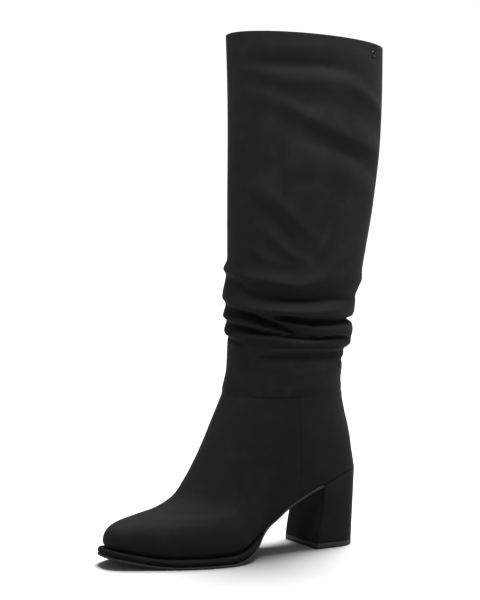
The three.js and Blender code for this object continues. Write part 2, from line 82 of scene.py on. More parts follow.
# Underside of the sole: shares of the heel height, and of the toe spring
bottom_line = {
    "station": [0, 0.087, 0.12, 0.15, 0.182, 0.223, 0.256, 0.29, 0.337, 0.376, 0.409],
    "rise": [1, 0.965, 0.922, 0.878, 0.832, 0.777, 0.72, 0.654, 0.556, 0.455, 0.376],
    "spring": [0] * 18 + [0.12, 0.45, 1],
}
bottom_line["station"] += [0.438, 0.465, 0.5, 0.54, 0.58, 0.625, 0.79, 0.86, 0.93, 1.02]
bottom_line["rise"] += [0.302, 0.232, 0.142, 0.062, 0.017, 0, 0, 0, 0, 0]


def through(table, across, up):
    """A smooth curve through a table's rows that never swings past one. It is a cubic
    between neighbours. Its slope at a row is zero at a peak or flat, and otherwise the
    harmonic mean of the slopes on both sides."""
    xs = np.array(table[across], float)
    ys = np.array(table[up], float)
    steps = np.diff(ys) / np.diff(xs)
    before = np.concatenate([steps[:1], steps])
    after = np.concatenate([steps, steps[-1:]])
    same = before * after > 0
    slopes = np.where(same, 2 * before * after / np.where(same, before + after, 1), 0)

    def curve(x):
        x = np.clip(x, xs[0], xs[-1])
        i = np.clip(np.searchsorted(xs, x, side="right") - 1, 0, len(xs) - 2)
        span = xs[i + 1] - xs[i]
        t = (x - xs[i]) / span
        climb = ys[i + 1] - ys[i]
        a = slopes[i] * span - climb
        b = climb - slopes[i + 1] * span
        return ys[i] + t * climb + t * (1 - t) * ((1 - t) * a + t * b)

    return curve


def blend_in(x, start, end):
    """0 before start, 1 after end, and 3t squared less 2t cubed in between."""
    t = np.clip((x - start) / (end - start), 0, 1)
    return t * t * (3 - 2 * t)


def mixed(a, b, share):
    """a at share 0, b at share 1, on the straight line between."""
    return a + (b - a) * share


def rounded(share, squareness):
    """Half-width of a long section as a share of its widest: 0 at both ends, and the n-th
    root of one less the n-th power of the distance from the middle."""
    return np.maximum(0, 1 - np.abs(2 * share - 1) ** squareness) ** (1 / squareness)


def share_forward(turn):
    """Share of the way from back to front at a turn: half of one less the cosine of a turn
    that is pushed towards both ends, so points lie close together where the outline turns."""
    return (1 - np.cos(turn + 0.125 * np.sin(2 * turn))) / 2


last_bottom["outer half"] = np.multiply(last_bottom["outer"], last_bottom["of"])
last_bottom["inner half"] = np.multiply(last_bottom["inner"], last_bottom["of"])
outer_half = through(last_bottom, "station", "outer half")
inner_half = through(last_bottom, "station", "inner half")
seat_rise = through(bottom_line, "station", "rise")
toe_lift = through(bottom_line, "station", "spring")


def centre_line(station):
    """The last's middle line: straight, then swung to the inner side towards the toe."""
    return toe_swing * blend_in(station / foot_length, 0.6, 1.0) ** 0.8


def underside(station):
    """Height of the outsole's underside: the share of the heel height that is left at this
    station, and the share of the toe spring."""
    drop = heel_height - outsole_thickness - joint
    return drop * seat_rise(station / foot_length) + toe_spring * toe_lift(station / foot_length)


def half_at(station, side):
    """Half-width of the last's bottom on the outer side (side 1) or inner side (side -1)."""
    share = station / foot_length
    return np.where(side > 0, outer_half(share), inner_half(share))


def outline(turn):
    """The last's bottom from above, at a turn from its back over the outer side."""
    share = share_forward(turn)
    station = share * foot_length
    side = np.where(np.sin(turn) < 0, -1, 1)
    return centre_line(station) + side * half_at(station, side) * rounded(share, 3), station


def plan_ring(turn, spread):
    """A ring round the last's bottom: the outline, each point moved outwards by its spread,
    square to the line between the points a little before and after it."""
    x, station = outline(turn)
    x_before, s_before = outline(turn - 0.02)
    x_after, s_after = outline(turn + 0.02)
    along_x, along_s = x_after - x_before, s_after - s_before
    size = np.hypot(along_x, along_s)
    return x + spread * along_s / size, station - spread * along_x / size


def turns_round(columns, back_station=0):
    """Turns of a ring's points, the same on both sides. With a back station the ring starts
    and ends there, and its ends are joined straight across."""
    if back_station == 0:
        return 2 * np.pi * (np.arange(columns) + 0.5) / columns
    table = np.linspace(0, np.pi, 2000)
    first = np.interp(back_station / foot_length, share_forward(table), table)
    return np.linspace(first, 2 * np.pi - first, columns)


def sole_spread(station):
    """How far the sole's edge stands out: almost flush behind, the rim round the forefoot."""
    return mixed(0.2, rim, blend_in(station / foot_length, 0.4, 0.54))


def in_place(x, station, z):
    """Boot coordinates in millimetres to the part's own frame in metres, toe towards -Y."""
    x, station, z = np.broadcast_arrays(x, station, z)
    return np.stack([x + zero_x, zero_y - station, z], -1) / 1000


def ring_faces(rows, columns, closes=False):
    """Quads between neighbouring rings that are stacked from low to high, all faces out.
    With closes, the last ring is joined to the first."""
    row = np.arange(rows if closes else rows - 1)[:, None]
    column = np.arange(columns)[None, :]
    beside = (column + 1) % columns
    above = (row + 1) % rows
    quads = [row * columns + column, above * columns + column]
    quads += [above * columns + beside, row * columns + beside]
    return np.stack(quads, -1).reshape(-1, 4)


def cap_faces(first, columns, up):
    """Quads across a ring from each point to its opposite, which close a slab's end. First is
    the number of the ring's first point."""
    near = np.arange(columns // 2 - 1)
    strips = np.stack([near, columns - 1 - near, columns - 2 - near, near + 1], -1)
    return first + (strips if up else strips[:, ::-1])


def make_piece(name, points, faces, *materials, sharp=40):
    """A mesh object from an array of points and one of faces, shaded smooth except over
    edges sharper than the given angle. It rides on the boot's one body."""
    mesh = bpy.data.meshes.new(name)
    mesh.from_pydata(points.reshape(-1, 3).tolist(), [], faces.tolist())
    mesh.update()
    mesh.polygons.foreach_set("use_smooth", np.ones(len(mesh.polygons), bool))
    mesh.set_sharp_from_angle(angle=math.radians(sharp))
    for material in materials:
        mesh.materials.append(material)
    piece = bpy.data.objects.new(name, mesh)
    bpy.context.scene.collection.objects.link(piece)
    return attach(piece, "root")


def slab_piece(name, rings, *materials):
    """A solid from rings stacked from its underside to its top, both ends closed."""
    rows, columns = rings.shape[:2]
    bottom = cap_faces(0, columns, up=False)
    top = cap_faces((rows - 1) * columns, columns, up=True)
    faces = np.concatenate([ring_faces(rows, columns), bottom, top])
    return make_piece(name, rings, faces, *materials)


def linear(hex_colour, alpha=1.0):
    """An sRGB hex colour as linear light, by the standard curve."""
    parts = [int(hex_colour[i : i + 2], 16) / 255 for i in (1, 3, 5)]
    curve = [p / 12.92 if p <= 0.04045 else ((p + 0.055) / 1.055) ** 2.4 for p in parts]
    return (*curve, alpha)


def fill(tree, node, **inputs):
    """Fills a node's sockets, by name with _ for a space, or by number as _0. Another node's
    socket is linked, a node stands for its first output, and anything else is set."""
    for key, value in inputs.items():
        socket = node.inputs[int(key[1:]) if key[1:].isdigit() else key.replace("_", " ")]
        if isinstance(value, bpy.types.Node):
            value = value.outputs[0]
        if isinstance(value, bpy.types.NodeSocket):
            tree.links.new(value, socket)
        else:
            socket.default_value = value


def add(tree, kind, settings=None, **inputs):
    """Adds a node. Settings are the node's own properties, and inputs its sockets."""
    node = tree.nodes.new(kind)
    for key, value in (settings or {}).items():
        setattr(node, key, value)
    fill(tree, node, **inputs)
    return node


def new_material(name):
    """A new material with its node tree, its shader, and the place on the piece in metres."""
    material = bpy.data.materials.new(name)
    material.use_nodes = True
    tree = material.node_tree
    place = add(tree, "ShaderNodeTexCoord").outputs["Object"]
    return material, tree, tree.nodes["Principled BSDF"], place


def ramp(tree, source, *stops):
    """A colour ramp over a value. Stops are (position, hex colour)."""
    node = add(tree, "ShaderNodeValToRGB", Fac=source)
    elements = node.color_ramp.elements
    while len(elements) < len(stops):
        elements.new(0.5)
    for element, (position, colour) in zip(elements, stops):
        element.position = position
        element.color = linear(colour)
    return node


def scale_for(millimetres):
    """Texture scale whose features are about this size in millimetres."""
    return 1000 / millimetres


# Rubber, moulded then scoured: dark grey, half matt, with fine dust in the scouring marks
rubber, tree, shader, place = new_material("scoured_rubber")
grit = add(tree, "ShaderNodeTexNoise", Vector=place, Scale=scale_for(0.6), Detail=3.0)
worn = add(tree, "ShaderNodeTexNoise", Vector=place, Scale=scale_for(9), Detail=4.0)
rubber_colour = ramp(tree, worn, (0.3, "#232324"), (0.7, "#2c2c2e"))
rubber_rough = add(tree, "ShaderNodeMapRange", Value=grit, To_Min=0.5, To_Max=0.68)
rubber_bump = add(tree, "ShaderNodeBump", Height=grit, Strength=0.25, Distance=0.0001)
fill(
    tree,
    shader,
    Base_Color=rubber_colour,
    Roughness=rubber_rough,
    Normal=rubber_bump,
    IOR=1.5,
    Specular_IOR_Level=0.2,
)

# Rings from the underside up, as millimetres in from the edge and above the underside. The
# ground edge is rounded below and bevelled above, where it catches the light.
outsole_edge = {
    "inset": [0.9, 0.35, 0.08, 0.0, 0.0, 0.2, 0.6, 1.1],
    "height": [0.0, 0.1, 0.4, 0.9, 1.4, 1.75, 2.15, 2.4],
}
turns = turns_round(sole_columns, breast_station)
stations = share_forward(turns) * foot_length
outsole_rings = []
for inset, height in zip(*outsole_edge.values()):
    x, s = plan_ring(turns, sole_spread(stations) - inset)
    outsole_rings.append(in_place(x, s, underside(s) + height))
outsole = slab_piece("outsole_sheet", np.array(outsole_rings), rubber)
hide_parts("outsole")

# MIDSOLE. A black layer of firm microcellular rubber between upper and outsole, under the
# forefoot only. It is skived away to nothing at the waist, and its edge is buffed round.
layer_start = 0.435 * foot_length
layer_full = 0.56 * foot_length
midsole_skive = 0.12
midsole_end = layer_start + midsole_skive * (layer_full - layer_start)
least_midsole = 0.1


def layer_at(station):
    """Thickness of the midsole with its glue line: it grows from nothing at its start to
    the full thickness as a parabola, s times two less s."""
    share = np.clip((station - layer_start) / (layer_full - layer_start), 0, 1)
    return (midsole_thickness + joint) * share * (2 - share)


# Firm cellular rubber: almost black, matt, with very fine pores
cellular, tree, shader, place = new_material("buffed_cellular_rubber")
pores = add(tree, "ShaderNodeTexNoise", Vector=place, Scale=scale_for(0.5), Detail=4.0)
patches = add(tree, "ShaderNodeTexNoise", Vector=place, Scale=scale_for(14), Detail=3.0)
cellular_colour = ramp(tree, patches, (0.3, "#0d0d0e"), (0.7, "#121213"))
cellular_bump = add(tree, "ShaderNodeBump", Height=pores, Strength=0.3, Distance=0.00012)
fill(
    tree,
    shader,
    Base_Color=cellular_colour,
    Roughness=0.7,
    Normal=cellular_bump,
    IOR=1.5,
    Specular_IOR_Level=0.04,
)

# Rings as millimetres in from the edge and shares of the thickness, well rounded on top
midsole_edge = {
    "inset": [0.9, 0.35, 0.1, 0.0, 0.15, 0.45, 0.95, 1.6, 2.35, 3.1],
    "share": [0.0, 0.05, 0.14, 0.28, 0.5, 0.66, 0.8, 0.9, 0.97, 1.0],
}
turns = turns_round(sole_columns, midsole_end)
stations = share_forward(turns) * foot_length
midsole_rings = []
for inset, share in zip(*midsole_edge.values()):
    x, s = plan_ring(turns, sole_spread(stations) - inset)
    thickness = np.maximum(least_midsole, layer_at(s) - joint)
    z = underside(s) + outsole_thickness + joint + share * thickness
    midsole_rings.append(in_place(x, s, z))
midsole = slab_piece("midsole_layer", np.array(midsole_rings), cellular)
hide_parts("midsole")

# HEEL. A block of hard plastic wrapped in the same covering as the upper, which is
# pulled round from the breast and glued. It carries the seat behind, and its breast is plain.
heel_foot = {"back": 4.8, "front": 52.3, "width": 56.0, "corner": 22.0, "square": 2.2}
top_piece_thickness = 5.0
seat_ease = 0.35
heel_columns = 240
breast_points = 22
heel_softening = 10
heel_middle = (0.0, 27.0)
heel_sections = {
    "down": [0.0, 0.2, 0.4, 0.6, 0.8, 1.0],
    "foot": [0.0, 0.2, 0.42, 0.64, 0.84, 1.0],
    "front": [0.0, 0.04, 0.16, 0.42, 0.74, 1.0],
}
foot_share = through(heel_sections, "down", "foot")
front_share = through(heel_sections, "down", "front")


def softened(ring, times):
    """A closed ring whose corners are rounded: each point moved halfway to the middle of
    its two neighbours, the given number of times."""
    for _ in range(times):
        ring = ring / 2 + (np.roll(ring, 1, 0) + np.roll(ring, -1, 0)) / 4
    return ring


def heel_ring(down, inset=0.0):
    """A section of the heel at a share of its height below the seat. One side runs from the
    back to the breast's corner, a quarter turn of even steps, between the outline of the
    seat and that of the heel's foot. The breast is straight, and the other side mirrors. The
    inset moves each point towards the heel's middle."""
    breast = breast_station - joint
    side_points = heel_columns // 2 - breast_points
    along = 1 - np.cos(np.pi / 2 * (np.arange(side_points) + 0.5) / (side_points - 0.5))
    top_s = breast * along
    top_x = outer_half(top_s / foot_length) * rounded(top_s / foot_length, 3)
    top_z = underside(top_s) + outsole_thickness - seat_ease
    forward = (heel_foot["front"] - heel_foot["back"]) * along
    corner = np.clip(1 - forward / heel_foot["corner"], 0, 1)
    square = heel_foot["square"]
    low_x = heel_foot["width"] / 2 * (1 - corner**square) ** (1 / square)
    low_z = top_piece_thickness + joint
    foot, front = foot_share(down), front_share(down)
    s = mixed(top_s, heel_foot["back"] + forward, mixed(foot, front, along))
    x = mixed(top_x, low_x, foot)
    z = mixed(top_z, low_z, down)
    across = x[-1] * (1 - (np.arange(breast_points) + 1) / (breast_points + 0.5))
    x = np.append(x, across)
    s = np.pad(s, (0, breast_points), "edge")
    z = np.pad(z, (0, breast_points), "edge")
    ring = np.stack([np.concatenate([x, -x[::-1]]), np.concatenate([s, s[::-1]])], -1)
    height = np.concatenate([z, z[::-1]])
    ring = softened(ring, heel_softening)
    away = ring - np.array(heel_middle)
    ring = ring - inset * away / np.linalg.norm(away, axis=1, keepdims=True)
    return in_place(ring[:, 0], ring[:, 1], height)


# Rings as shares of the way down and millimetres in: both ends are a little rounded
heel_steps = [(0.0, 0.3), (0.006, 0.05)] + [(d, 0.0) for d in np.linspace(0.02, 0.985, 48)]
heel_steps += [(0.994, 0.12), (1.0, 0.5)]
heel_rings = np.array([heel_ring(down, inset) for down, inset in reversed(heel_steps)])
heel_block = slab_piece("heel_block", heel_rings)
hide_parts("heel")

# TOP PIECE. The wearing piece of harder rubber, nailed and glued under the heel's foot and
# ground flush with it, so its side shows the same grey as the outsole's edge.
top_edge = {
    "height": [0.0, 0.15, 0.6, 4.5, 4.85, top_piece_thickness],
    "inset": [0.7, 0.2, 0.0, 0.0, 0.1, 0.35],
}
top_rings = []
for height, inset in zip(*top_edge.values()):
    ring = heel_ring(1.0, inset)
    ring[:, 2] = height / 1000
    top_rings.append(ring)
top_piece = slab_piece("heel_top_piece", np.array(top_rings), rubber)
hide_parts("top_piece")

# INSOLE. A shaped board under a soft black sock lining, with the upper's edge glued beneath
# it. The CAD solid has its true shape, so it stays and only gets its lining cloth.

# Lining cloth: plain woven, near black and a little warm, matt with a weak sheen
lining, tree, shader, place = new_material("sock_lining_cloth")
# The cloth's threads are near 0.3 mm, and are drawn at 0.7 mm, or none would show. A wave's
# bands are a third of the size that its scale is for.
weft, warp = (
    add(
        tree,
        "ShaderNodeTexWave",
        {"bands_direction": way},
        Vector=place,
        Scale=scale_for(2.2),
        Distortion=0.4,
    ).outputs["Fac"]
    for way in ("X", "Y")
)
cloth = add(tree, "ShaderNodeMath", {"operation": "MULTIPLY"}, _0=weft, _1=warp)
rubbed = add(tree, "ShaderNodeTexNoise", Vector=place, Scale=scale_for(20), Detail=3.0)
lining_colour = ramp(tree, rubbed, (0.3, "#1a1918"), (0.7, "#242220"))
lining_bump = add(tree, "ShaderNodeBump", Height=cloth, Strength=0.35, Distance=0.0002)
fill(
    tree,
    shader,
    Base_Color=lining_colour,
    Roughness=0.88,
    Normal=lining_bump,
    Specular_IOR_Level=0.2,
    Sheen_Weight=0.15,
    Sheen_Roughness=0.5,
)
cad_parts["insole"].data.materials.clear()
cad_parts["insole"].data.materials.append(lining)

# UPPER. The foot part is cut as a vamp and two quarters, pulled over the last and turned in
# 11 mm under the insole. A closed seam runs down each side from the hem, and the inside is a
# thin black lining cloth.
boot_height = 457.0
hem_height = 140.5
hem_lap = 9.0
under_lap = 2.0
ankle_front = 126.0
ankle_depth = 109.0
ankle_width = 82.0
heel_lean = 0.3
instep_lean = 0.38
toe_box_height = 24.0
upper_wall = 1.6
lasting_margin = 11.0
upper_columns = 336
ankle_top = hem_height + hem_lap
ankle_back = ankle_front - ankle_depth

# Sections from the edge of the sole to the ankle, with the columns that part.mjs gives them
foot_sections = {
    "tuck": [0, 0.05, 0.1, 0.15, 0.19, 0.23, 0.29, 0.37, 0.46, 0.555, 0.64, 0.72, 0.775],
    "lift": [0, 0.04, 0.1, 0.17, 0.245, 0.32, 0.395, 0.47, 0.545, 0.62, 0.697, 0.772, 0.825],
    "reach": [1, 1.006, 0.998, 0.968, 0.9, 0.775, 0.61, 0.46, 0.357, 0.272, 0.198, 0.135, 0.08],
    "box": [0, 0.18, 0.43, 0.66, 0.85, 1, 1, 1, 1, 1, 1, 1, 1],
    "instep": [0, 0, 0, 0, 0, 0, 0.04, 0.12, 0.247, 0.388, 0.532, 0.668, 0.79],
    "level": [0, 0, 0.04, 0.12, 0.22, 0.34, 0.47, 0.6, 0.72, 0.82, 0.9, 0.96, 0.99],
    "leg": [0, 0.02, 0.07, 0.14, 0.23, 0.32, 0.42, 0.52, 0.62, 0.72, 0.81, 0.9, 0.96],
    "swell": [0, 0.012, 0.018, 0.016, 0.01, 0, -0.01, -0.01, 0, 0, 0, 0, 0],
    "square": [3, 2.95, 2.85, 2.65, 2.4, 2.2, 2.05, 2, 2, 2, 2, 2, 2],
    "blunt": [3, 2.95, 2.9, 2.8, 2.7, 2.6, 2.5, 2.4, 2.3, 2.2, 2.12, 2.05, 2],
}


def feather_height(station):
    """Height of the line where the upper meets the sole."""
    return underside(station) + outsole_thickness + layer_at(station) + joint


def long_ring(turn, back, front, back_z, front_z, half, square, blunt, sag, centre):
    """A long section between its back and front points, closed over both sides. The half
    width and the sag are functions of the place along it, and blunt shapes its back half as
    square does its front half."""
    share = share_forward(turn)
    station = mixed(back, front, share)
    side = np.where(np.sin(turn) < 0, -1, 1)
    width = half(station, side) * rounded(share, np.where(share < 0.5, blunt, square))
    z = mixed(back_z, front_z, share) + sag(share)
    return np.stack([centre(station) + side * width, station, z], -1)


def foot_ring(turn, row):
    """One row of the foot sections as a ring."""
    seat, toe = feather_height(0), feather_height(foot_length)
    toe_top = toe + toe_box_height
    get = {name: column[row] for name, column in foot_sections.items()}
    return long_ring(
        turn,
        back=ankle_back * get["tuck"],
        front=mixed(ankle_front, foot_length, get["reach"]),
        back_z=mixed(seat, ankle_top, get["lift"]),
        front_z=mixed(toe, toe_top, get["box"]) + get["instep"] * (ankle_top - toe_top),
        half=lambda station, side: mixed(
            half_at(station, side) + get["swell"] * ball_width, ankle_width / 2, get["leg"]
        ),
        square=get["square"],
        blunt=get["blunt"],
        sag=lambda share: (1 - get["level"])
        * (feather_height(share * foot_length) - mixed(seat, toe, share)),
        centre=lambda station: centre_line(station) * (1 - get["leg"]),
    )


def ankle_ring(turn, drop):
    """A level ankle section, at a drop below the foot part's top edge."""
    level = ankle_top - drop
    return long_ring(
        turn,
        back=ankle_back - heel_lean * drop,
        front=ankle_front + instep_lean * drop,
        back_z=level,
        front_z=level,
        half=lambda station, side: ankle_width / 2,
        square=2,
        blunt=2,
        sag=lambda share: 0,
        centre=lambda station: 0,
    )


def smooth_stack(rings, steps):
    """Rings between given rings. Each column is a cubic through its points, spaced by the
    rings' mean distance. Its slope at a ring is that of the parabola through the ring and
    its two neighbours. Steps are counted in given rings, so 2.5 is halfway past ring 2."""
    gaps = np.linalg.norm(np.diff(rings, axis=0), axis=2).mean(1)[:, None, None]
    chords = np.diff(rings, axis=0) / gaps
    inside = (chords[1:] * gaps[:-1] + chords[:-1] * gaps[1:]) / (gaps[:-1] + gaps[1:])
    slopes = np.concatenate([chords[:1], inside, chords[-1:]])
    i = np.clip(steps.astype(int), 0, len(rings) - 2)
    t = (steps - i)[:, None, None]
    start, end, gap = rings[i], rings[i + 1], gaps[i]
    a, b = slopes[i] * gap, slopes[i + 1] * gap
    bend = (1 - t) * (a - (end - start)) + t * ((end - start) - b)
    return start + t * (end - start) + t * (1 - t) * bend


def outward(rings):
    """Normals of a stack of rings in boot coordinates, where the station runs forward: the
    cross product of the way round, from the back over the outer side, and the way up."""
    round_way = np.roll(rings, -1, 1) - np.roll(rings, 1, 1)
    normals = np.cross(round_way, np.gradient(rings, axis=0))
    return normals / np.maximum(np.linalg.norm(normals, axis=2, keepdims=True), 1e-9)


def eased(rings, normals, amount):
    """The rings moved along their normals by an amount."""
    return rings + normals * amount


def hump(away, width):
    """1 at no distance, else e to the power of less the square of distance over width."""
    return np.exp(-((away / width) ** 2))


def lined_piece(name, rings, lined, sharp):
    """A closed wall from rings that run out and in again, with the lining on marked rows."""
    columns = rings.shape[1]
    faces = ring_faces(len(rings), columns, closes=True)[:, ::-1]
    points = in_place(*np.moveaxis(rings, -1, 0))
    piece = make_piece(name, points, faces, nubuck, lining, sharp=sharp)
    piece.data.polygons.foreach_set("material_index", np.repeat(lined.astype(int), columns))
    return piece


def seam_relief(away, seam):
    """How far the leather stands out at a distance from a seam: a swell less a groove."""
    swell = seam["swell"] * hump(away, seam["swell_width"])
    return swell - seam["groove"] * hump(away, seam["groove_width"])


# Covering: leather buffed to a short dense nap, or a microfibre made to look like it, dyed
# black. It is matt, with a faint sheen where the nap is seen edge on and brushed patches a
# shade apart.
nubuck, tree, shader, place = new_material("black_nubuck")
# The nap's fibres are near 0.1 mm. They are drawn at 0.7 mm, or none would show.
nap = add(
    tree, "ShaderNodeTexNoise", Vector=place, Scale=scale_for(0.7), Detail=5.0, Roughness=0.7
)
brushed = add(
    tree,
    "ShaderNodeTexNoise",
    Vector=place,
    Scale=scale_for(26),
    Detail=5.0,
    Roughness=0.6,
    Distortion=0.8,
)
pores = add(tree, "ShaderNodeTexVoronoi", Vector=place, Scale=scale_for(1.6))
weighted = {"operation": "MULTIPLY_ADD"}
grain = add(tree, "ShaderNodeMath", weighted, _0=pores, _1=0.35, _2=nap)
tone = add(tree, "ShaderNodeMath", weighted, _0=nap, _1=0.45, _2=brushed)
nubuck_colour = ramp(tree, tone, (0.4, "#111111"), (0.72, "#151515"), (1.0, "#1b1b1c"))
nubuck_rough = add(tree, "ShaderNodeMapRange", Value=brushed, To_Min=0.72, To_Max=0.86)
nubuck_bump = add(tree, "ShaderNodeBump", Height=grain, Strength=0.35, Distance=0.0002)
fill(
    tree,
    shader,
    Base_Color=nubuck_colour,
    Roughness=nubuck_rough,
    Normal=nubuck_bump,
    IOR=1.45,
    Specular_IOR_Level=0.08,
    Sheen_Weight=0.015,
    Sheen_Roughness=0.4,
)
heel_block.data.materials.append(nubuck)

turns = turns_round(upper_columns)
given = [foot_ring(turns, row) for row in range(len(foot_sections["tuck"]))]
given += [ankle_ring(turns, hem_lap + under_lap), ankle_ring(turns, 0)]
given = np.array(given)
toe_steps = np.linspace(0, 5, 76)
instep_steps = np.linspace(5, len(given) - 1, 86)[1:]
foot_skin = smooth_stack(given, np.concatenate([toe_steps, instep_steps]))
foot_normals = outward(foot_skin)

# The two side seams lean a little: station 80 at the hem, 70 where they meet the sole. Each is
# a groove between two low swells, whose widths and heights are in millimetres.
seam_at_hem, seam_at_sole, seam_low = 80.0, 70.0, 45.0
side_seam = {"swell": 0.4, "swell_width": 3.2, "groove": 0.75, "groove_width": 1.3}
foot_station, foot_height = foot_skin[..., 1], foot_skin[..., 2]
seam_share = blend_in(foot_height, seam_low, hem_height)
from_seam = foot_station - mixed(seam_at_sole, seam_at_hem, seam_share)

# The instep stands fuller round one height, and the upper is pulled in along the midsole
instep_full, instep_level, instep_reach = 1.3, 95.0, 48.0
instep_share = blend_in(share_forward(turns), 0.7, 0.97)[None, :]
fuller = instep_full * instep_share * np.exp(-(((foot_height - instep_level) / instep_reach) ** 4))
pull, pull_width, pull_start, pull_full = 1.0, 2.0, 95.0, 130.0
above_feather = foot_height - feather_height(foot_station)
pulled = pull * blend_in(foot_station, pull_start, pull_full) * hump(above_feather, pull_width)
foot_relief = seam_relief(from_seam, side_seam) + fuller - pulled
foot_skin = eased(foot_skin, foot_normals, foot_relief[..., None])

# The lining has one row for three of the outside. Its lowest row meets the turned-in edge,
# whose rings are millimetres in from the edge of the sole and above the feather line.
foot_lining = eased(foot_skin, foot_normals, -upper_wall)[::3]
x, station = plan_ring(turns, -upper_wall)
foot_lining[0] = np.stack([x, station, feather_height(station) + upper_wall], -1)
turned_edge = {
    "inset": [4.0, lasting_margin, lasting_margin, 5.0],
    "lift": [0.0, 0.0, upper_wall, upper_wall],
}
turned_in = []
for inset, lift in zip(*turned_edge.values()):
    x, station = plan_ring(turns, -inset)
    turned_in.append(np.stack([x, station, feather_height(station) + lift], -1))
shell = np.concatenate([foot_skin[::-1], np.array(turned_in), foot_lining])
lined = np.arange(len(shell)) >= len(foot_skin) + 2
upper = lined_piece("foot_upper", shell, lined, sharp=50)
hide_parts("upper")

# SHAFT. One long tube of the same covering with a thin lining, lapped 9 mm over the foot part.
# It is cut longer than the leg, so it sinks into soft rolls above the ankle, and the collar's
# edge is turned in and sewn.
shaft_wall = 1.3
lap_ease = 0.1
stand_off = shaft_wall + joint + lap_ease
collar_dip = 6.0
stud_below_collar, stud_bearing = 9.0, 128.0
collar_front = 125.5
collar_depth = 155.5
collar_width = 98.0
shaft_columns = 264
shaft_height = boot_height - hem_height
collar_back = collar_front - collar_depth
hem_front = ankle_front + instep_lean * hem_lap + stand_off
hem_back = ankle_back - heel_lean * hem_lap - stand_off
hem_half = ankle_width / 2 + stand_off
shaft_sections = {
    "height": [0, 0.028, 0.07, 0.11, 0.17, 0.25, 0.33, 0.41, 0.55, 0.73, 0.88, 1],
    "bow": [0, -0.017, -0.037, -0.041, -0.045, -0.037, -0.033, -0.031, -0.026, -0.022, -0.013, 0],
    "calf": [0, -0.03, -0.035, -0.01, 0.13, 0.26, 0.43, 0.56, 0.765, 0.94, 0.99, 1],
    "width": [0, -0.02, -0.01, 0.04, 0.16, 0.3, 0.44, 0.56, 0.75, 0.88, 0.96, 1],
    "tilt": [0, 0, 0.006, 0.02, 0.036, 0.034, 0.024, 0.012, 0.008, 0.012, 0.017, 0.019],
}
bow_at, calf_at, width_at, tilt_at = (
    through(shaft_sections, "height", key) for key in ("bow", "calf", "width", "tilt")
)

